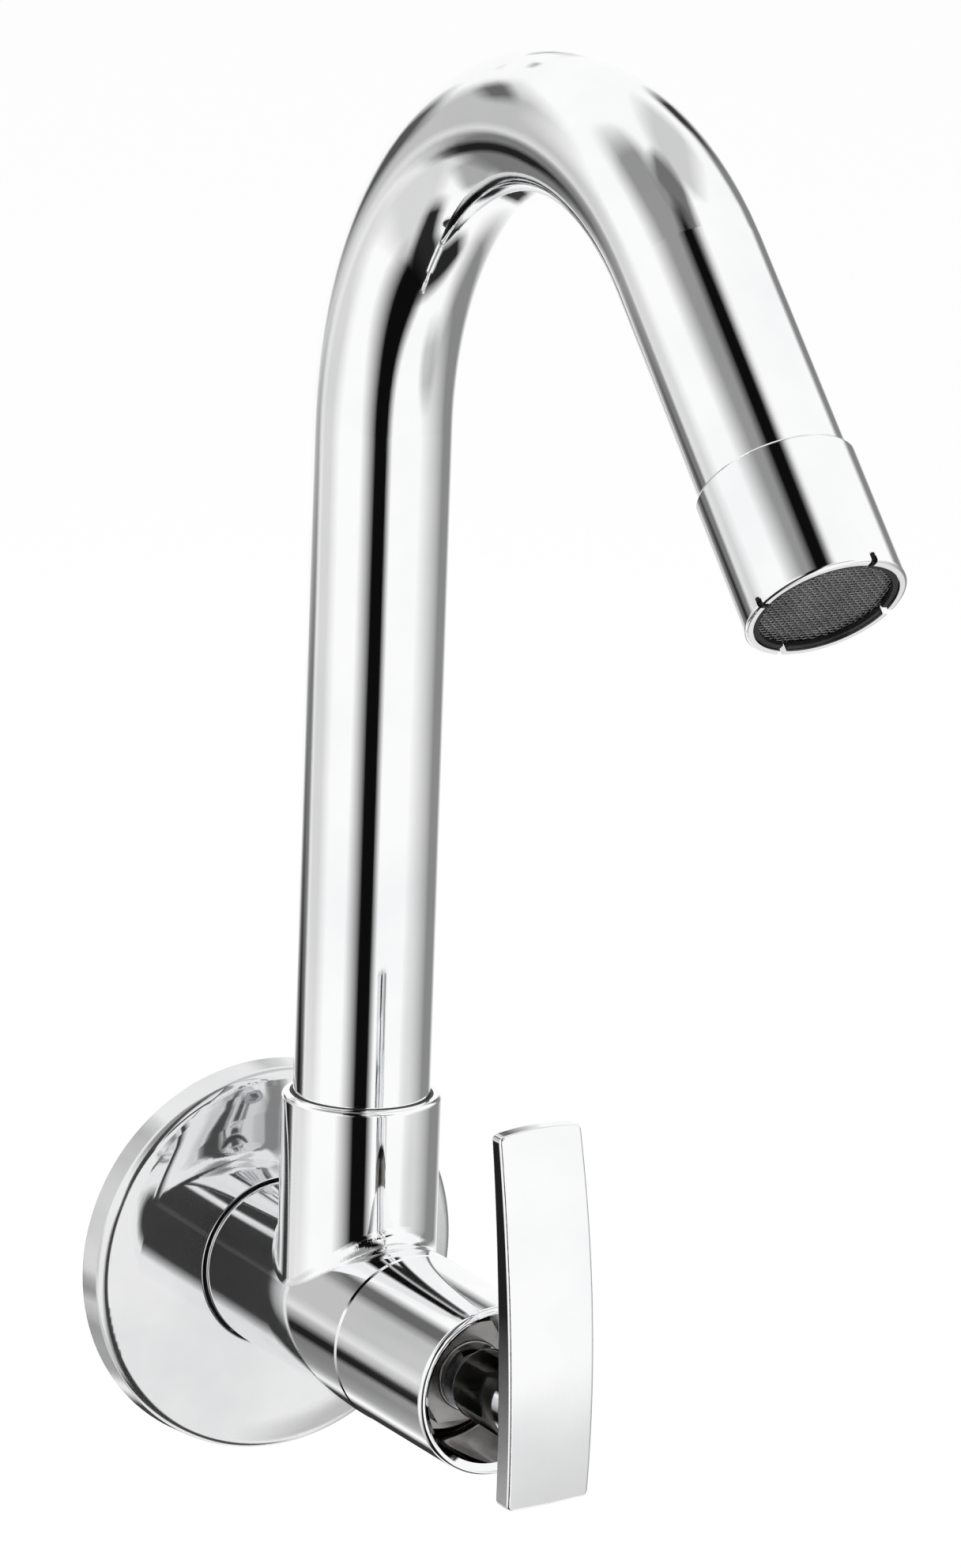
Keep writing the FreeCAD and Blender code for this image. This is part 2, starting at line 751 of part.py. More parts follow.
def spindle():
    """Brass spindle: drive tongue, stop lugs, ring grooves, circlip groove and spline."""
    tongue_back = drive_back - drive_tongue_height
    shaft = turned([
        (0, drive_back), (drive_flange_radius, drive_back), (drive_flange_radius, drive_front),
        (spindle_radius, drive_front), (spindle_radius, spline_start, 0.4), (0, spline_start)])
    shaft = shaft.fuse(bar(drive_tongue_width, drive_tongue_length, tongue_back, drive_back))
    lug_width = 180 - stop_key_width - handle_travel - stop_play
    for side in (90, 270):
        middle = side + (stop_key_width + stop_play + lug_width) / 2
        shaft = shaft.fuse(sector(drive_flange_radius - 0.5, drive_lug_radius, lug_width,
                                  middle, drive_back, drive_front))
    spline = splined(0, spline_start, spindle_end)
    spline.rotate(Vector(0, 0, 0), Vector(0, 0, 1), handle_lean)
    shaft = shaft.fuse(spline)
    for station in spindle_ring_stations():
        root = spindle_radius + turning_fit - 2 * ring_fit - 2 * spindle_ring_section
        shaft = shaft.cut(groove(spindle_radius, root, station, 2.4 * spindle_ring_section))
    root = spindle_radius - circlip_groove_depth
    shaft = shaft.cut(ring(spindle_radius + 1, root, circlip_start - face_fit / 2,
                           circlip_end + face_fit / 2))
    return on_barrel(shaft.removeSplitter())


def spindle_o_rings():
    """Two small rubber rings in the spindle's grooves."""
    centre = spindle_radius + turning_fit - ring_fit - spindle_ring_section
    return [on_barrel(o_ring(centre, spindle_ring_section, station))
            for station in spindle_ring_stations()]


def spindle_thrust_washer():
    """Slippery plastic washer between the drive flange and the headwork."""
    return on_barrel(ring(drive_flange_radius, spindle_radius + turning_fit,
                          washer_back, washer_front))


def spindle_circlip():
    """Open steel ring that keeps the spindle from being pushed in."""
    inner = spindle_radius - circlip_groove_depth + ring_fit
    clip = ring(circlip_radius, inner, circlip_start, circlip_end)
    gap = sector(inner - 0.5, circlip_radius + 1, circlip_gap_width, 90,
                 circlip_start, circlip_end)
    return on_barrel(clip.cut(gap))


def bowed(radius, apex_station, apex_height, low, high):
    """Points on a bowed face: its low end, middle and high end, as stations by height."""
    points = []
    for height in (low, (low + high) / 2, high):
        sag = radius - sqrt(radius ** 2 - (height - apex_height) ** 2)
        points.append(Vector(0, height, apex_station - sag))
    return points


def handle_blade():
    """Thin blade, bowed forward along its height and slightly bulged at its sides."""
    low = blade_bottom - blade_bottom_bow
    high = blade_top + blade_top_bow
    front = bowed(blade_front_radius, blade_front, blade_front_apex, low, high)
    back = bowed(blade_back_radius, blade_back, blade_back_apex, low, high)
    side = Part.Wire(Part.__sortEdges__([
        Part.Arc(*front).toShape(), Part.makeLine(front[2], back[2]),
        Part.Arc(*back).toShape(), Part.makeLine(back[0], front[0])]))
    half = blade_end_half_width + blade_side_bow
    side.translate(Vector(-half - 1, 0, 0))
    slab = Part.Face(side).extrude(Vector(2 * half + 2, 0, 0))
    middle = (blade_top + blade_bottom) / 2
    right = blade_end_half_width
    outline = Part.Wire(Part.__sortEdges__([
        Part.Arc(Vector(-right, blade_bottom, 0), Vector(0, low, 0),
                 Vector(right, blade_bottom, 0)).toShape(),
        Part.Arc(Vector(right, blade_bottom, 0), Vector(half, middle, 0),
                 Vector(right, blade_top, 0)).toShape(),
        Part.Arc(Vector(right, blade_top, 0), Vector(0, high, 0),
                 Vector(-right, blade_top, 0)).toShape(),
        Part.Arc(Vector(-right, blade_top, 0), Vector(-half, middle, 0),
                 Vector(-right, blade_bottom, 0)).toShape()]))
    plate = Part.Face(outline).extrude(Vector(0, 0, blade_front + 1))
    corners = [edge for edge in plate.Edges
               if abs(edge.Vertexes[0].Z - edge.Vertexes[-1].Z) > 1]
    blade = slab.common(plate.makeFillet(blade_corner_round, corners))
    return blade.makeFillet(blade_edge_round, blade.Edges)


def handle_lever():
    """Hub and blade in one bright casting, with a splined socket and a screw hole below."""
    hub = turned([
        (0, hub_start), (hub_radius, hub_start, hub_edge_round),
        (hub_radius, blade_back + blade_thickness / 2), (0, blade_back + blade_thickness / 2)])
    lever = handle_blade().fuse(hub).removeSplitter()
    seam = [edge for edge in lever.Edges
            if abs(edge.BoundBox.ZMax - blade_back) < 1.5
            and edge.BoundBox.XLength > 1.9 * hub_radius
            and edge.BoundBox.YLength < 2.2 * hub_radius]
    lever = lever.makeFillet(hub_blend, seam)
    lever = lever.cut(splined(slot_fit, hub_start - 1, socket_floor))
    hole = tapped_hole(grub_screw_radius, screw_thread_depth, screw_thread_pitch,
                       spline_radius - spline_depth, hub_radius - spline_radius + spline_depth,
                       hub_radius + 1)
    return on_handle(lever.cut(in_hub(hole)))


def in_hub(shape):
    """Turns the piece so that its heights run straight down from the hub's axis."""
    placed = shape.copy()
    placed.rotate(Vector(0, 0, 0), Vector(1, 0, 0), 90)
    return placed.translated(Vector(0, 0, blade_back - grub_screw_station))


def handle_grub_screw():
    """Socket screw under the hub, which clamps the spline."""
    start = spline_radius + slot_fit + face_fit
    end = hub_radius - screw_recess
    ridges = thread_corners(grub_screw_radius, screw_thread_depth, screw_thread_pitch,
                            spline_radius - spline_depth + screw_thread_pitch,
                            end - spline_radius)
    root = grub_screw_radius - screw_thread_depth
    screw = turned([(0, start), (root, start)] + ridges + [(root, end), (0, end)])
    socket = hexagon(grub_socket_across_flats, end - grub_socket_depth, end)
    return on_handle(in_hub(screw.cut(socket)))


PIECES = (
    valve_body, wall_flange, flange_grip_ring, bonnet_sleeve, headwork_body,
    headwork_gasket, seat_seal, fixed_disc, spout_glide_ring, spout_retaining_screw,
    spout_tube, spout_ferrule, spout_o_rings, outlet_sleeve, aerator_washer,
    aerator_shell, aerator_core, aerator_screens, moving_disc, spindle,
    spindle_o_rings, spindle_thrust_washer, spindle_circlip, handle_lever,
    handle_grub_screw)

os.makedirs("parts", exist_ok=True)
for make_piece in PIECES:
    made = make_piece()
    if isinstance(made, list):
        made = Part.makeCompound(made)
    made.exportStep("parts/" + make_piece.__name__ + ".step")
    print(make_piece.__name__, len(made.Solids), "solid, volume", round(made.Volume, 1),
          "valid" if made.isValid() else "NOT VALID")
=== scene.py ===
"""Studio scene of a wall-mounted kitchen tap with a swivelling bent spout.

Lengths are metres. The origin is on the inlet's axis, in the plane of the wall;
the barrel runs out from the wall along -Y and +Z is up.
"""
import logging
import math
from dataclasses import dataclass, field
from enum import Enum

import bpy
from mathutils import Matrix, Vector


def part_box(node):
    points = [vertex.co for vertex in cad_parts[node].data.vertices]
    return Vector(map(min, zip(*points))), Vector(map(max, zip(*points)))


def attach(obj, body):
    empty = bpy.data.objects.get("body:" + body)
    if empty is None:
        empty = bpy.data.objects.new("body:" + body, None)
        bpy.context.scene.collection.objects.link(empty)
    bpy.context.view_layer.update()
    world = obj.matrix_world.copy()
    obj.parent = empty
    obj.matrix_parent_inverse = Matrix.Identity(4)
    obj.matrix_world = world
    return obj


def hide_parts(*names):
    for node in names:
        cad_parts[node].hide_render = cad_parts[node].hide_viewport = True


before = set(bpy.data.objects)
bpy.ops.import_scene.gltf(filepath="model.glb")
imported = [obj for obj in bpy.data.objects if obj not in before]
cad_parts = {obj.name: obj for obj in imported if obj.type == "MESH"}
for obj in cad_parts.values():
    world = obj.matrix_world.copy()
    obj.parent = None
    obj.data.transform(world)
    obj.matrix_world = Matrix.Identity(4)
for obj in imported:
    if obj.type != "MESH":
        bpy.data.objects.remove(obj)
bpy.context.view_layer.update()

LOG = logging.getLogger("tap")
Colour = tuple[float, float, float]
Span = tuple[float, float]
Socket = bpy.types.NodeSocket
WHOLE: Span = (0.0, 1.0)


class Grain(Enum):
    """Way that a piece's polishing or turning lines run.

    Each value says how much finer the pattern is along X, Y and Z.
    """

    NONE = (1.0, 1.0, 1.0)
    AROUND_BARREL = (1.0, 30.0, 1.0)
    ALONG_STEM = (14.0, 14.0, 0.5)
    ALONG_BLADE = (20.0, 1.0, 0.8)


class Join(Enum):
    """Ways to join two values into one."""

    PRODUCT = "MULTIPLY"
    LARGER = "MAXIMUM"


def joined(tree: bpy.types.NodeTree, way: Join, first: Socket, second: Socket | float) -> Socket:
    """Joins two values into one.

    Args:
        tree: the node tree that holds them.
        way: how they are joined.
        first: one value.
        second: the other value, or a plain number.

    Returns:
        The socket with the joined value.
    """
    node = tree.nodes.new("ShaderNodeMath")
    node.operation = way.value
    tree.links.new(first, node.inputs[0])
    if isinstance(second, float):
        node.inputs[1].default_value = second
    else:
        tree.links.new(second, node.inputs[1])
    return node.outputs["Value"]


def remapped(tree: bpy.types.NodeTree, value: Socket, old: Span, new: Span) -> Socket:
    """Maps values from one range to another and holds them at its ends.

    Args:
        tree: the node tree that holds them.
        value: the socket with the values.
        old: their range.
        new: the range to map it to.

    Returns:
        The socket with the mapped values.
    """
    node = tree.nodes.new("ShaderNodeMapRange")
    tree.links.new(value, node.inputs["Value"])
    for name, number in zip(("From Min", "From Max", "To Min", "To Max"), old + new):
        node.inputs[name].default_value = number
    return node.outputs["Result"]


def seen_directly(tree: bpy.types.NodeTree) -> Socket:
    """Makes a switch that is 1 for what the camera, chrome and glass see.

    Args:
        tree: the node tree that needs it.

    Returns:
        The socket with the switch.
    """
    path = tree.nodes.new("ShaderNodeLightPath")
    seen = path.outputs["Is Camera Ray"]
    for ray in ("Is Glossy Ray", "Is Transmission Ray"):
        seen = joined(tree, Join.LARGER, seen, path.outputs[ray])
    return seen


def mix_surfaces(tree: bpy.types.NodeTree, amount: Socket, first: Socket, second: Socket) -> None:
    """Gives a material a mix of two surfaces.

    Args:
        tree: the material's node tree.
        amount: the socket that says how much of the second surface shows.
        first: the surface at 0.
        second: the surface at 1.
    """
    mix = tree.nodes.new("ShaderNodeMixShader")
    for source, entry in zip((amount, first, second), mix.inputs):
        tree.links.new(source, entry)
    tree.links.new(mix.outputs["Shader"], tree.nodes["Material Output"].inputs["Surface"])


@dataclass(frozen=True)
class Patches:
    """Soft patches that vary a finish: marks, stains or mottling.

    The scale is in features per metre and the detail is the number of finer layers.
    The colour changes over one span of the pattern's values and the gloss over another.
    """

    scale: float
    detail: float
    colour_span: Span
    gloss_span: Span


@dataclass(frozen=True)
class Relief:
    """Fine unevenness of a surface.

    The scale is in features per metre, the detail is the number of finer layers, the
    strength says how much of it shows, and the depth is in metres.
    """

    scale: float
    detail: float
    strength: float
    depth: float


class Shader:
    """Node tree of one material, with short calls for the nodes that the finishes use."""

    def __init__(self, name: str) -> None:
        """Makes an empty finish.

        Args:
            name: the material's name.
        """
        self.material = bpy.data.materials.new(name)
        self.material.use_nodes = True
        self.tree = self.material.node_tree
        self.surface = self.tree.nodes["Principled BSDF"].inputs
        self.place = self.tree.nodes.new("ShaderNodeTexCoord").outputs["Object"]

    def noise(self, scale: float, detail: float, grain: Grain = Grain.NONE) -> Socket:
        """Makes a cloudy pattern, stretched along the piece's grain.

        Args:
            scale: features per metre.
            detail: how many finer layers it has.
            grain: the way that it is stretched.

        Returns:
            The socket with the pattern, from 0 to 1.
        """
        mapping = self.tree.nodes.new("ShaderNodeMapping")
        mapping.inputs["Scale"].default_value = grain.value
        self.tree.links.new(self.place, mapping.inputs["Vector"])
        node = self.tree.nodes.new("ShaderNodeTexNoise")
        node.inputs["Scale"].default_value = scale
        node.inputs["Detail"].default_value = detail
        self.tree.links.new(mapping.outputs["Vector"], node.inputs["Vector"])
        return node.outputs["Fac"]

    def cells(self, scale: float) -> Socket:
        """Measures how far the nearest of many scattered points is.

        Args:
            scale: points per metre.

        Returns:
            The socket with the distance, in cells.
        """
        node = self.tree.nodes.new("ShaderNodeTexVoronoi")
        node.inputs["Scale"].default_value = scale
        self.tree.links.new(self.place, node.inputs["Vector"])
        return node.outputs["Distance"]

    def tint(self, pattern: Socket, span: Span, low: Colour, high: Colour) -> None:
        """Colours the piece between two colours.

        Args:
            pattern: the socket with the pattern that it follows.
            span: the pattern's values where the change begins and ends.
            low: the colour before it.
            high: the colour after it.
        """
        node = self.tree.nodes.new("ShaderNodeValToRGB")
        self.tree.links.new(remapped(self.tree, pattern, span, WHOLE), node.inputs["Fac"])
        node.color_ramp.elements[0].color = (*low, 1.0)
        node.color_ramp.elements[1].color = (*high, 1.0)
        self.tree.links.new(node.outputs["Color"], self.surface["Base Color"])

    def roughen(self, pattern: Socket, span: Span, gloss: Span) -> None:
        """Varies the roughness.

        Args:
            pattern: the socket with the pattern that it follows.
            span: the pattern's values where the change begins and ends.
            gloss: the roughness before and after it.
        """
        self.tree.links.new(remapped(self.tree, pattern, span, gloss), self.surface["Roughness"])

    def relieve(self, relief: Relief, grain: Grain = Grain.NONE, under: Socket | None = None) -> Socket:
        """Gives the surface a fine relief.

        Args:
            relief: its scale and depth.
            grain: the way that it is stretched.
            under: a coarser relief that it lies on.

        Returns:
            The socket with the surface's new direction.
        """
        node = self.tree.nodes.new("ShaderNodeBump")
        node.inputs["Strength"].default_value = relief.strength
        node.inputs["Distance"].default_value = relief.depth
        self.tree.links.new(self.noise(relief.scale, relief.detail, grain), node.inputs["Height"])
        if under is not None:
            self.tree.links.new(under, node.inputs["Normal"])
        self.tree.links.new(node.outputs["Normal"], self.surface["Normal"])
        return node.outputs["Normal"]


@dataclass(frozen=True)
class Chrome:
    """Bright plating, nearly clean, with faint water marks, dried drops and polishing lines.

    The gloss is the roughness where it is clean and where it is marked. Drops are
    counted per metre. A drop's edge is a span of distances from its middle, in cells,
    and inside it the marks count as many times as its film says.
    """

    bright: Colour = (0.965, 0.967, 0.972)
    dull: Colour = (0.91, 0.915, 0.925)
    gloss: Span = (0.035, 0.075)
    metal: float = 1.0
    grain: Grain = Grain.NONE
    marks: Patches = Patches(scale=55.0, detail=4.0, colour_span=(0.42, 0.72), gloss_span=(0.35, 0.95))
    drops: float = 260.0
    drop_edge: Span = (0.05, 0.16)
    drop_film: float = 1.9
    waves: Relief = Relief(scale=38.0, detail=1.0, strength=0.03, depth=0.002)
    polish: Relief = Relief(scale=420.0, detail=2.0, strength=0.02, depth=0.00005)

    def material(self, name: str) -> bpy.types.Material:
        """Makes the finish.

        Args:
            name: the material's name.

        Returns:
            The material.
        """
        shader = Shader(name)
        tree = shader.tree
        shader.surface["Metallic"].default_value = self.metal
        clouds = shader.noise(self.marks.scale, self.marks.detail)
        shader.tint(clouds, self.marks.colour_span, self.bright, self.dull)
        spots = remapped(tree, shader.cells(self.drops), self.drop_edge, (1.0, 0.0))
        film = joined(tree, Join.PRODUCT, clouds, remapped(tree, spots, WHOLE, (1.0, self.drop_film)))
        shader.roughen(film, self.marks.gloss_span, self.gloss)
        shader.relieve(self.polish, self.grain, under=shader.relieve(self.waves))
        return shader.material


@dataclass(frozen=True)
class TurnedMetal:
    """Bare brass or steel with its turning lines and some tarnish."""

    bright: Colour
    tarnish: Colour
    gloss: Span
    grain: Grain = Grain.AROUND_BARREL
    stains: Patches = Patches(scale=140.0, detail=5.0, colour_span=(0.4, 0.75), gloss_span=(0.3, 0.8))
    lines: Relief = Relief(scale=500.0, detail=2.0, strength=0.25, depth=0.00008)

    def material(self, name: str) -> bpy.types.Material:
        """Makes the finish.

        Args:
            name: the material's name.

        Returns:
            The material.
        """
        shader = Shader(name)
        shader.surface["Metallic"].default_value = 1.0
        clouds = shader.noise(self.stains.scale, self.stains.detail)
        shader.tint(clouds, self.stains.colour_span, self.bright, self.tarnish)
        shader.roughen(clouds, self.stains.gloss_span, self.gloss)
        shader.relieve(self.lines, self.grain)
        return shader.material


@dataclass(frozen=True)
class Moulded:
    """Rubber, plastic, fibre or ceramic: a matt or satin skin with fine relief."""

    colour: Colour
    shade: Colour
    gloss: Span
    shine: float = 0.5
    mottling: Patches = Patches(scale=160.0, detail=4.0, colour_span=(0.35, 0.7), gloss_span=(0.3, 0.7))
    grit: Relief = Relief(scale=900.0, detail=3.0, strength=0.3, depth=0.00005)

    def material(self, name: str) -> bpy.types.Material:
        """Makes the finish.

        Args:
            name: the material's name.

        Returns:
            The material.
        """
        shader = Shader(name)
        shader.surface["Specular IOR Level"].default_value = self.shine
        clouds = shader.noise(self.mottling.scale, self.mottling.detail)
        shader.tint(clouds, self.mottling.colour_span, self.colour, self.shade)
        shader.roughen(clouds, self.mottling.gloss_span, self.gloss)
        shader.relieve(self.grit)
        return shader.material


Finish = Chrome | TurnedMetal | Moulded
CAST_CHROME = Chrome()
TURNED_CHROME = Chrome(grain=Grain.AROUND_BARREL)
TUBE_CHROME = Chrome(grain=Grain.ALONG_STEM)
BLADE_CHROME = Chrome(grain=Grain.ALONG_BLADE)
PRESSED_CHROME = Chrome(
    bright=(0.80, 0.802, 0.808), dull=(0.68, 0.685, 0.695), metal=0.955,
    marks=Patches(scale=30.0, detail=4.0, colour_span=(0.42, 0.72), gloss_span=(0.35, 0.95)))
BRASS = TurnedMetal(bright=(0.80, 0.62, 0.34), tarnish=(0.55, 0.40, 0.20), gloss=(0.22, 0.42))
# Grey metals of the headwork and the spindle, made dark to paint the shade inside the bonnet's mouth.
GREY_METAL_MOUTH_SHADE = TurnedMetal(bright=(0.34, 0.33, 0.32), tarnish=(0.22, 0.21, 0.20), gloss=(0.16, 0.3))
DARKER_METAL_MOUTH_SHADE = TurnedMetal(bright=(0.20, 0.195, 0.19), tarnish=(0.13, 0.125, 0.12), gloss=(0.2, 0.34))
WIRE = TurnedMetal(bright=(0.42, 0.42, 0.43), tarnish=(0.26, 0.26, 0.27), gloss=(0.3, 0.45))
STEEL = TurnedMetal(bright=(0.62, 0.63, 0.65), tarnish=(0.42, 0.42, 0.44), gloss=(0.2, 0.38))
RUBBER = Moulded(colour=(0.018, 0.018, 0.02), shade=(0.035, 0.035, 0.036), gloss=(0.5, 0.7))
# Near-black plastic for the glide ring and the aerator shell. On the shell its darkness is partly painted
# shade: the shadowed ring round the outlet's gauze.
BLACK_PLASTIC_AND_GAP_SHADE = Moulded(colour=(0.008, 0.008, 0.009), shade=(0.016, 0.016, 0.017), gloss=(0.4, 0.55),
                        shine=0.25)
PALE_PLASTIC = Moulded(colour=(0.30, 0.30, 0.29), shade=(0.38, 0.375, 0.36), gloss=(0.35, 0.5))
RED_FIBRE = Moulded(colour=(0.30, 0.05, 0.03), shade=(0.42, 0.10, 0.06), gloss=(0.7, 0.9))
CERAMIC = Moulded(colour=(0.86, 0.85, 0.81), shade=(0.93, 0.92, 0.88), gloss=(0.12, 0.22))


def dress(finishes: dict[str, Finish]) -> None:
    """Gives each solid piece its finish, in every slot that it has.

    Args:
        finishes: the finish of each piece, by the piece's name.
    """
    for name, finish in finishes.items():
        material = finish.material(name + "_finish")
        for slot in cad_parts[name].material_slots:
            slot.material = material
        LOG.info("%s dressed", name)


@dataclass
class FixedTap:
    """Valve body, flange, bonnet and headwork, which stay with the wall."""

    finishes: dict[str, Finish] = field(default_factory=lambda: {
        "valve_body": CAST_CHROME,
        "wall_flange": PRESSED_CHROME,
        "bonnet_sleeve": TURNED_CHROME,
        # The headwork's grey metal is darkened to paint the shade in the bonnet's mouth.
        "headwork_body": GREY_METAL_MOUTH_SHADE,
        "headwork_gasket": RED_FIBRE,
        "flange_grip_ring": RUBBER,
        "seat_seal": RUBBER,
        "fixed_disc": CERAMIC,
        "spout_glide_ring": BLACK_PLASTIC_AND_GAP_SHADE,
        "spout_retaining_screw": STEEL,
    })

    def build(self) -> None:
        """Dresses every piece of the fixed tap."""
        dress(self.finishes)


@dataclass
class WovenGauze:
    """Two layers of woven wire in the outlet, the inner one turned on the outer.

    The wire is given by its radius. A layer's lift is counted in wire radii from the
    middle of the pair, and the turn is in degrees. Outward points out of the outlet,
    and across is the way that half of the outer layer's wires run.
    """

    radius: float = 0.01078
    pitch: float = 0.00072
    wire: float = 0.000075
    sides: int = 6
    inner_turn: float = 45.0
    inner_lift: float = -2.0
    outer_lift: float = 2.0
    outward: Vector = field(default_factory=lambda: Vector((0.0, -0.688355, -0.725374)))
    across: Vector = field(default_factory=lambda: Vector((1.0, 0.0, 0.0)))

    def wire_tube(self, along: Vector, aside: Vector, middle: Vector, offset: int,
                  over: float) -> tuple[list[Vector], list[tuple[int, ...]]]:
        """Shapes one wire, which passes over and under the ones that cross it.

        Args:
            along: direction that the wire runs in.
            aside: direction across it, in the layer.
            middle: the layer's middle.
            offset: the wire's number, counted from the middle one.
            over: 1 where it passes over the middle crossing wire, -1 where it passes under.

        Returns:
            The wire's corners and its faces.
        """
        shift = offset * self.pitch
        reach = math.sqrt(self.radius ** 2 - shift ** 2)
        steps = int(2.0 * reach / self.pitch)
        places = [-reach] + [step * self.pitch / 2.0 for step in range(-steps, steps + 1)] + [reach]
        corners, faces = [], []
        for number, place in enumerate(places):
            lift = over * (-1) ** offset * self.wire * math.cos(math.pi * place / self.pitch)
            centre = middle + along * place + aside * shift + self.outward * lift
            for side in range(self.sides):
                turn = 2.0 * math.pi * side / self.sides
                corners.append(centre + (aside * math.cos(turn) + self.outward * math.sin(turn)) * self.wire)
                if number:
                    here, next_side = number * self.sides, (side + 1) % self.sides
                    faces.append((here + side, here + next_side, here + next_side - self.sides,
                                  here + side - self.sides))
        return corners, faces

    def weave(self) -> tuple[list[Vector], list[tuple[int, ...]]]:
        """Shapes every wire of both layers, where the plain gauze discs are.

        Returns:
            The corners and the faces.
        """
        low, high = (Vector(corner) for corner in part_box("aerator_screens"))
        corners, faces = [], []
        most = int(self.radius / self.pitch)
        for turn, lift in ((math.radians(self.inner_turn), self.inner_lift), (0.0, self.outer_lift)):
            middle = (low + high) / 2.0 + self.outward * lift * self.wire
            first = Matrix.Rotation(turn, 3, self.outward) @ self.across
            second = self.outward.cross(first)
            for along, aside, over in ((first, second, 1.0), (second, first, -1.0)):
                for offset in range(-most, most + 1):
                    wire_corners, wire_faces = self.wire_tube(along, aside, middle, offset, over)
                    faces += [tuple(len(corners) + corner for corner in face) for face in wire_faces]
                    corners += wire_corners
        return corners, faces

    def build(self) -> None:
        """Puts the woven gauze in the outlet in place of the plain discs."""
        corners, faces = self.weave()
        mesh = bpy.data.meshes.new("outlet_gauze")
        mesh.from_pydata(corners, [], faces)
        mesh.shade_smooth()
        mesh.materials.append(WIRE.material("outlet_gauze_finish"))
        gauze = bpy.data.objects.new("outlet_gauze", mesh)
        bpy.context.scene.collection.objects.link(gauze)
        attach(gauze, "spout")
        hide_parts("aerator_screens")
        LOG.info("outlet_gauze woven, %d faces", len(faces))


@dataclass
class SwivelSpout:
    """Bent tube, its ferrule in the collar, and the outlet with its aerator."""

    finishes: dict[str, Finish] = field(default_factory=lambda: {
        "spout_tube": TUBE_CHROME,
        "spout_ferrule": BRASS,
        "spout_o_rings": RUBBER,
        "outlet_sleeve": CAST_CHROME,
        "aerator_washer": RUBBER,
        # The shell's near-black partly paints the shadowed ring round the gauze.
        "aerator_shell": BLACK_PLASTIC_AND_GAP_SHADE,
        "aerator_core": PALE_PLASTIC,
        "aerator_screens": WIRE,
    })
    gauze: WovenGauze = field(default_factory=WovenGauze)

    def build(self) -> None:
        """Dresses every piece of the spout and weaves its gauze."""
        dress(self.finishes)
        self.gauze.build()


@dataclass
class LeverHandle:
    """Blade handle with the spindle and disc that it turns."""

    finishes: dict[str, Finish] = field(default_factory=lambda: {
        "moving_disc": CERAMIC,
        # The spindle's dark metal paints the shade in the bonnet's mouth.
        "spindle": DARKER_METAL_MOUTH_SHADE,
        "spindle_o_rings": RUBBER,
        "spindle_thrust_washer": PALE_PLASTIC,
        "spindle_circlip": STEEL,
        "handle_lever": BLADE_CHROME,
        "handle_grub_screw": STEEL,
    })

    def build(self) -> None:
        """Dresses every piece of the handle."""
        dress(self.finishes)


def looking(azimuth: float, elevation: float) -> Vector:
    """Finds the direction from the tap towards a place in the studio.

    Args:
        azimuth: degrees round from the tap's front, positive to the right.
        elevation: degrees above level.

    Returns:
        The direction, of length 1.
    """
    turn, tilt = math.radians(azimuth), math.radians(elevation)
    return Vector((math.sin(turn) * math.cos(tilt), -math.cos(turn) * math.cos(tilt), math.sin(tilt)))


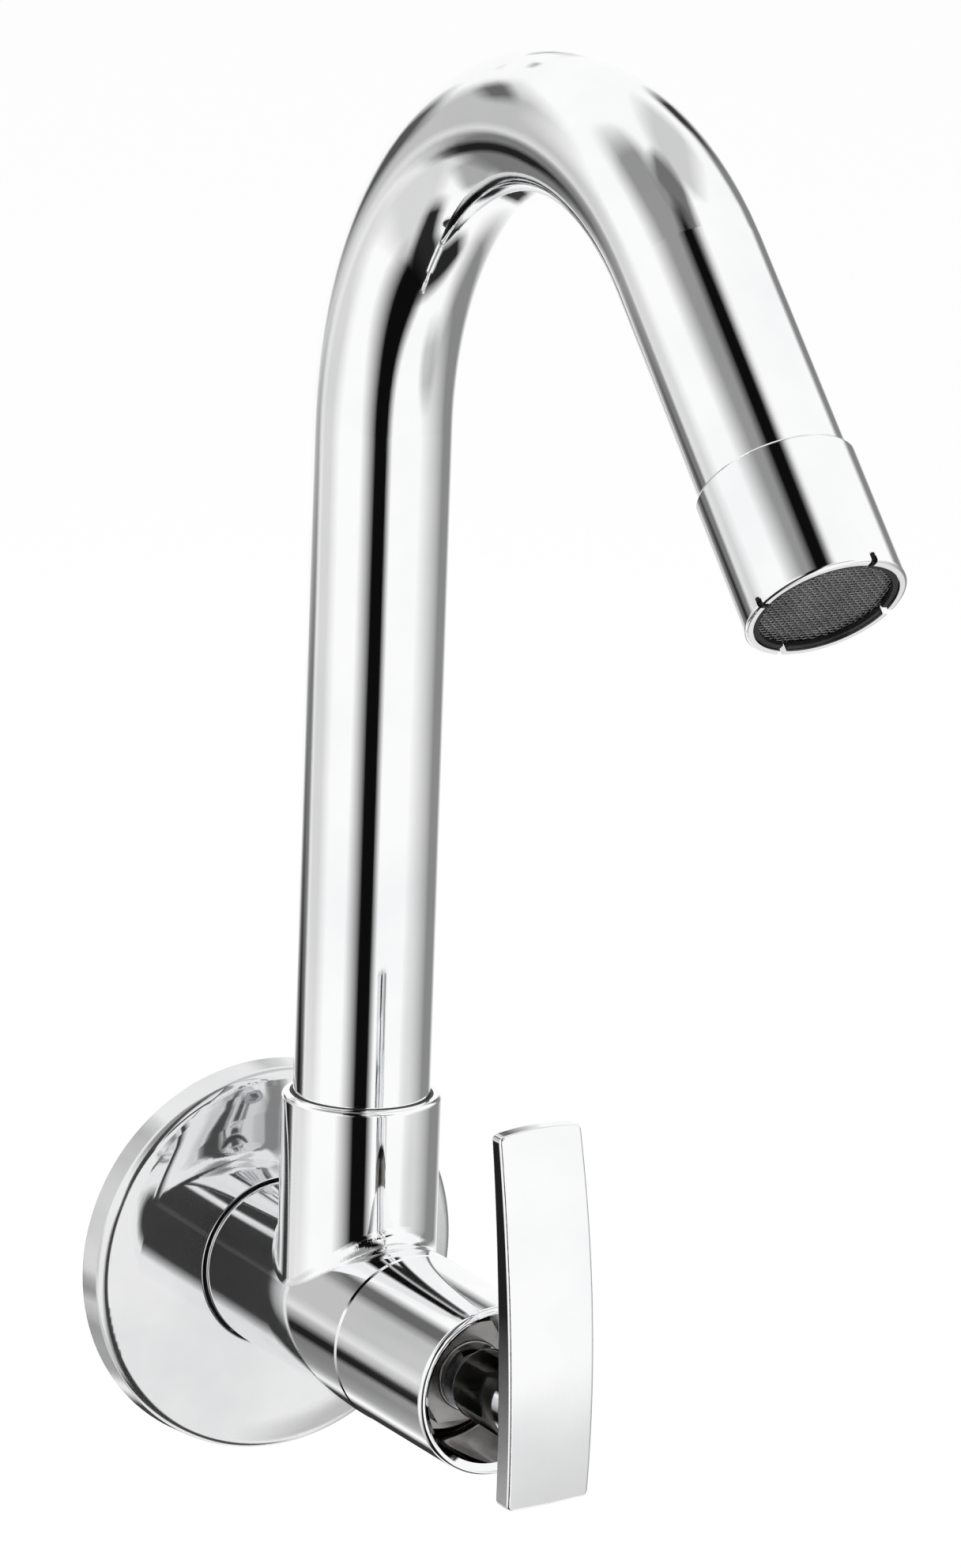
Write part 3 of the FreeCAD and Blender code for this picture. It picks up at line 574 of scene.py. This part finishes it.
@dataclass(frozen=True)
class Flag:
    """Soft-edged cloth on the studio's dome, black, grey or white, seen in reflections alone.

    Its middle line runs through the places of its path, each an azimuth, an elevation
    and half a width in degrees. It fades out over soft degrees at its left and right,
    and towards its two ends. Its shade goes from 0, black, to 1, white, it hangs at a
    distance in metres, and the smoothing says how often its faces are divided.
    """

    name: str
    shade: float
    soft: Span
    path: tuple[tuple[float, float, float], ...]
    distance: float = 3.0
    smoothing: int = 3

    def across(self, index: int) -> Vector:
        """Finds the direction across the flag at one of its places, to the right.

        Args:
            index: the place's number.

        Returns:
            The direction, of length 1.
        """
        last = len(self.path) - 1
        back, ahead = self.path[max(index - 1, 0)], self.path[min(index + 1, last)]
        along = looking(ahead[0], ahead[1]) - looking(back[0], back[1])
        middle = looking(self.path[index][0], self.path[index][1])
        return along.cross(-middle).normalized()

    def cut(self, target: Vector) -> bpy.types.Mesh:
        """Cuts the cloth, a strip of three bands with a value that says where it fades.

        Args:
            target: the middle of the dome.

        Returns:
            The mesh.
        """
        points, faces, fades = [], [], []
        for index, (azimuth, elevation, half) in enumerate(self.path):
            middle, side = looking(azimuth, elevation), self.across(index)
            end = index in (0, len(self.path) - 1)
            turns = (-half - self.soft[0], -half, half, half + self.soft[1])
            for turn, fade in zip(turns, (0.0, 1.0, 1.0, 0.0)):
                spread = math.radians(turn)
                away = middle * math.cos(spread) + side * math.sin(spread)
                points.append(target + away * self.distance)
                fades.append(0.0 if end else fade)
            if index:
                wide = len(turns)
                first = wide * index
                faces += [(first + band, first + band + 1, first + band + 1 - wide, first + band - wide)
                          for band in range(wide - 1)]
        mesh = bpy.data.meshes.new(self.name)
        mesh.from_pydata(points, [], faces)
        mesh.attributes.new("fade", "FLOAT", "POINT").data.foreach_set("value", fades)
        return mesh

    def cloth(self) -> bpy.types.Material:
        """Makes the cloth's material, which fades to nothing at its sides and ends.

        Returns:
            The material.
        """
        material = bpy.data.materials.new(self.name)
        material.use_nodes = True
        tree = material.node_tree
        tree.nodes.remove(tree.nodes["Principled BSDF"])
        glow = tree.nodes.new("ShaderNodeEmission")
        glow.inputs["Color"].default_value = (self.shade, self.shade, self.shade, 1.0)
        clear = tree.nodes.new("ShaderNodeBsdfTransparent")
        fade = tree.nodes.new("ShaderNodeAttribute")
        fade.attribute_name = "fade"
        mix_surfaces(tree, fade.outputs["Fac"], clear.outputs["BSDF"], glow.outputs["Emission"])
        return material

    def build(self, target: Vector) -> None:
        """Hangs the flag round the tap.

        Args:
            target: the middle of the dome.
        """
        mesh = self.cut(target)
        mesh.materials.append(self.cloth())
        flag = bpy.data.objects.new(self.name, mesh)
        bpy.context.scene.collection.objects.link(flag)
        smooth = flag.modifiers.new("smooth", "SUBSURF")
        smooth.levels = smooth.render_levels = self.smoothing
        for ray in ("visible_camera", "visible_diffuse", "visible_shadow", "visible_transmission"):
            setattr(flag, ray, False)


# Each flag is named for where it hangs as seen from the tap, with the wall at the back.
FLAGS = (
    Flag("flag_camera", shade=0.004, soft=(26.0, 9.0), distance=2.7, path=(
        (-29, 14, 3), (-29, 2, 7), (-28.5, -12, 9), (-30.5, -30, 8.5), (-36, -48, 12), (-42, -62, 15),
        (-55, -71, 13), (-75, -81, 6))),
    Flag("flag_camera_top", shade=0.004, soft=(8.0, 8.0), distance=2.65, path=(
        (-38, 78, 1), (-42, 70, 4.5), (-44, 61, 5), (-44, 50, 7), (-43, 33, 15), (-35, 18, 7),
        (-31, 6, 4), (-30, -4, 2))),
    Flag("flag_below", shade=0.02, soft=(8.0, 8.0), distance=2.8, path=(
        (-148, -48, 1), (-138, -58, 1.5), (-126, -66, 4), (-108, -71, 7), (-80, -77, 13),
        (-20, -78, 14), (80, -76, 8), (117, -68, 5), (128, -58, 1))),
    Flag("flag_grey_left", shade=0.31, soft=(18.0, 12.0), distance=3.1, path=(
        (-142, 56, 4), (-120, 58, 9), (-98, 57, 12), (-65, 56, 12), (-35, 66, 9), (-8, 74, 3))),
    Flag("flag_zenith", shade=0.17, soft=(9.0, 9.0), path=(
        (-125, 74, 2), (-105, 77, 6), (-60, 81, 8), (-15, 79, 5), (20, 76, 2))),
    Flag("flag_right_top", shade=0.64, soft=(8.0, 8.0), distance=3.2, path=(
        (132, 42, 2), (125, 53, 6), (121, 66, 8), (112, 77, 9), (70, 83, 9), (35, 78, 4))),
    Flag("flag_right", shade=0.26, soft=(58.0, 22.0), distance=3.3, path=(
        (112, 12, 2), (110, 0, 9), (108, -12, 10), (110, -40, 10), (113, -60, 4))),
    Flag("flag_right_upper", shade=0.24, soft=(8.0, 8.0), distance=3.2, path=(
        (125, 34, 1), (124, 24, 5), (123, 13, 9), (121, 3, 7), (120, -8, 2))),
    Flag("flag_right_spot", shade=0.04, soft=(5.0, 5.0), path=(
        (131, 38, 1), (131, 30, 1.5), (131, 22, 3.5), (132, 13, 1))),
    Flag("flag_back_pale", shade=0.54, soft=(9.0, 14.0), distance=3.4, path=(
        (-155, 34, 3), (-156, 22, 8), (-157, 10, 9), (-154, -2, 9), (-150, -13, 4))),
    Flag("flag_left_pale", shade=0.7, soft=(12.0, 20.0), distance=3.5, path=(
        (-128, 8, 2), (-129, -4, 8), (-129, -14, 9), (-131, -24, 4))),
    Flag("flag_back_dark", shade=0.09, soft=(5.0, 5.0), distance=3.1, path=(
        (-184, 15, 1), (-176, 9, 3), (-168, 2.5, 4), (-162, -6, 2))),
    Flag("flag_back_spot", shade=0.14, soft=(4.0, 4.0), distance=1.25, path=(
        (-169, 26.7, 1), (-162, 25.7, 2.2), (-156, 23.2, 2), (-150, 17.7, 1))),
    Flag("flag_back_line", shade=0.015, soft=(3.5, 3.5), distance=2.9, path=(
        (-173, -14, 1), (-164, -16.5, 2), (-157, -18.5, 2.2), (-150, -20.5, 2.2), (-142, -21, 1))),
    Flag("flag_back_grey", shade=0.2, soft=(4.0, 4.0), distance=3.2, path=(
        (-143, -12, 1), (-150, -14, 6), (-158, -18, 10), (-167, -21, 11), (-176, -24, 8),
        (-186, -25, 6), (-196, -26, 1))),
    Flag("flag_right_back", shade=0.04, soft=(4.0, 4.0), path=(
        (148, -15, 1), (153, -21, 3), (160, -29, 4), (167, -33, 4), (175, -36, 1))),
    Flag("flag_upper_back", shade=0.015, soft=(3.0, 3.0), path=(
        (175, 36, 1), (175, 32.5, 2), (175, 29, 2.5), (175, 24, 1))),
    Flag("flag_upper_spot", shade=0.12, soft=(3.0, 3.0), path=(
        (163, 29, 1), (157, 24, 1.8), (150, 17, 1))),
    Flag("flag_front_low", shade=0.015, soft=(2.0, 3.0), distance=2.75, path=(
        (-33, 10, 2), (-29, 15, 6), (-24.5, 20, 6), (-21.5, 23, 6), (-20.5, 24, 5))),
    Flag("flag_front_high", shade=0.015, soft=(2.0, 4.0), distance=2.75, path=(
        (-18, 26, 4), (-16.5, 26.6, 4.6), (-11, 27.8, 5), (-2, 29.2, 5), (7, 28.8, 4.6), (16, 26, 4),
        (25, 21, 2))),
    Flag("flag_upper_pale", shade=1.0, soft=(1.2, 1.2), distance=1.0, path=(
        (146, 26, 1.5), (157, 30, 3.2), (167, 32.2, 3.4), (176, 33.9, 3.6), (186, 34, 3.2),
        (194, 33, 1.5))),
    Flag("flag_low_pale", shade=0.7, soft=(6.0, 6.0), distance=3.4, path=(
        (-146, -14, 3), (-140, -24, 7), (-134, -36, 9), (-126, -47, 10), (-113, -58, 8), (-98, -66, 3))),
    Flag("flag_low_grey", shade=0.42, soft=(5.0, 5.0), distance=3.3, path=(
        (-152, -24, 3), (-158, -30, 6), (-165, -36, 7), (-173, -43, 6), (-180, -46, 3))),
    Flag("flag_front_grey", shade=0.6, soft=(8.0, 10.0), distance=3.4, path=(
        (45, -14, 2), (45, -26, 8), (47, -40, 8), (51, -55, 2))),
)


@dataclass(frozen=True)
class Lamp:
    """Soft square lamp that faces the tap and isn't seen in reflections.

    It hangs at an azimuth and an elevation in degrees. Its distance and the length
    of its side are metres, and its power is watts.
    """

    name: str
    azimuth: float
    elevation: float
    distance: float
    side: float
    power: float

    def build(self, target: Vector) -> None:
        """Hangs the lamp.

        Args:
            target: the place that it faces.
        """
        away = looking(self.azimuth, self.elevation)
        light = bpy.data.lights.new(self.name, "AREA")
        light.shape = "SQUARE"
        light.size = self.side
        light.energy = self.power
        lamp = bpy.data.objects.new(self.name, light)
        lamp.visible_glossy = False
        lamp.location = target + away * self.distance
        lamp.rotation_mode = "QUATERNION"
        lamp.rotation_quaternion = away.to_track_quat("Z", "Y")
        bpy.context.scene.collection.objects.link(lamp)


KEY_LAMP = Lamp("key_lamp", azimuth=-70.0, elevation=50.0, distance=1.6, side=1.2, power=22.0)
FILL_LAMP = Lamp("fill_lamp", azimuth=60.0, elevation=35.0, distance=1.8, side=1.4, power=12.0)


@dataclass
class Studio:
    """Pale floor, white surroundings, soft lamps and the flags that chrome reflects.

    The floor reaches equally far each way. Its white is the share of plain white in
    what is seen of it, which leaves a faint shadow. The surroundings have one strength
    as light on the tap and one as they are seen.
    """

    target: Vector = field(default_factory=lambda: Vector((0.0, -0.08, 0.10)))
    floor_height: float = -0.16
    floor_reach: float = 14.0
    floor_colour: Colour = (0.9, 0.9, 0.9)
    floor_roughness: float = 0.9
    floor_white: float = 0.9
    surroundings: Span = (0.9, 1.0)
    lamps: tuple[Lamp, ...] = (KEY_LAMP, FILL_LAMP)
    flags: tuple[Flag, ...] = FLAGS

    def build(self) -> None:
        """Sets up the whole studio."""
        self.make_floor()
        self.make_world()
        for item in self.lamps + self.flags:
            item.build(self.target)
            LOG.info("%s hung", item.name)

    def make_floor(self) -> None:
        """Lays the pale floor, which keeps a soft shadow."""
        reach = self.floor_reach
        mesh = bpy.data.meshes.new("floor")
        mesh.from_pydata([(-reach, -reach, 0), (reach, -reach, 0), (reach, reach, 0), (-reach, reach, 0)],
                         [], [(0, 1, 2, 3)])
        mesh.materials.append(self.floor_finish())
        floor = bpy.data.objects.new("floor", mesh)
        floor.location.z = self.floor_height
        floor.visible_glossy = False
        bpy.context.scene.collection.objects.link(floor)

    def floor_finish(self) -> bpy.types.Material:
        """Makes the floor's matt white.

        Returns:
            The material.
        """
        material = bpy.data.materials.new("floor")
        material.use_nodes = True
        tree = material.node_tree
        plain = tree.nodes["Principled BSDF"]
        plain.inputs["Base Color"].default_value = (*self.floor_colour, 1.0)
        plain.inputs["Roughness"].default_value = self.floor_roughness
        white = tree.nodes.new("ShaderNodeEmission")
        amount = joined(tree, Join.PRODUCT, seen_directly(tree), self.floor_white)
        mix_surfaces(tree, amount, plain.outputs["BSDF"], white.outputs["Emission"])
        return material

    def make_world(self) -> None:
        """Surrounds the tap with white that lights it softly."""
        world = bpy.data.worlds.new("studio")
        bpy.context.scene.world = world
        world.use_nodes = True
        tree = world.node_tree
        background = tree.nodes["Background"].inputs
        strength = remapped(tree, seen_directly(tree), WHOLE, self.surroundings)
        tree.links.new(strength, background["Strength"])
        background["Color"].default_value = (1.0, 1.0, 1.0, 1.0)


@dataclass
class Viewpoint:
    """Camera at the place, turn and focal length that were fitted to the photograph.

    Its angles are degrees, and its lens and sensor are millimetres.
    """

    place: Vector = field(default_factory=lambda: Vector((-0.45852, -0.88837, 0.30641)))
    azimuth: float = 29.388
    elevation: float = 12.352
    roll: float = 2.033
    lens: float = 132.166
    sensor: float = 36.0

    def build(self) -> None:
        """Sets the camera up and makes it the scene's."""
        turn, tilt, roll = (math.radians(angle) for angle in (self.azimuth, self.elevation, self.roll))
        back = Vector((-math.sin(turn) * math.cos(tilt), -math.cos(turn) * math.cos(tilt), math.sin(tilt)))
        level = Vector((math.cos(turn), -math.sin(turn), 0.0))
        rise = back.cross(level)
        right = math.cos(roll) * level + math.sin(roll) * rise
        up = -math.sin(roll) * level + math.cos(roll) * rise
        data = bpy.data.cameras.new("camera")
        data.lens = self.lens
        data.sensor_width = self.sensor
        facing = Matrix((right, up, back)).transposed().to_4x4()
        camera = bpy.data.objects.new("camera", data)
        camera.matrix_world = Matrix.Translation(self.place) @ facing
        bpy.context.scene.collection.objects.link(camera)
        bpy.context.scene.camera = camera
        bpy.context.scene.view_settings.view_transform = "Standard"
        LOG.info("camera set up")


def main() -> None:
    """Builds the scene, each sub-assembly in turn."""
    logging.basicConfig(level=logging.INFO, format="%(name)s: %(message)s")
    Viewpoint().build()
    FixedTap().build()
    SwivelSpout().build()
    LeverHandle().build()
    Studio().build()


if __name__ == "__main__":
    main()
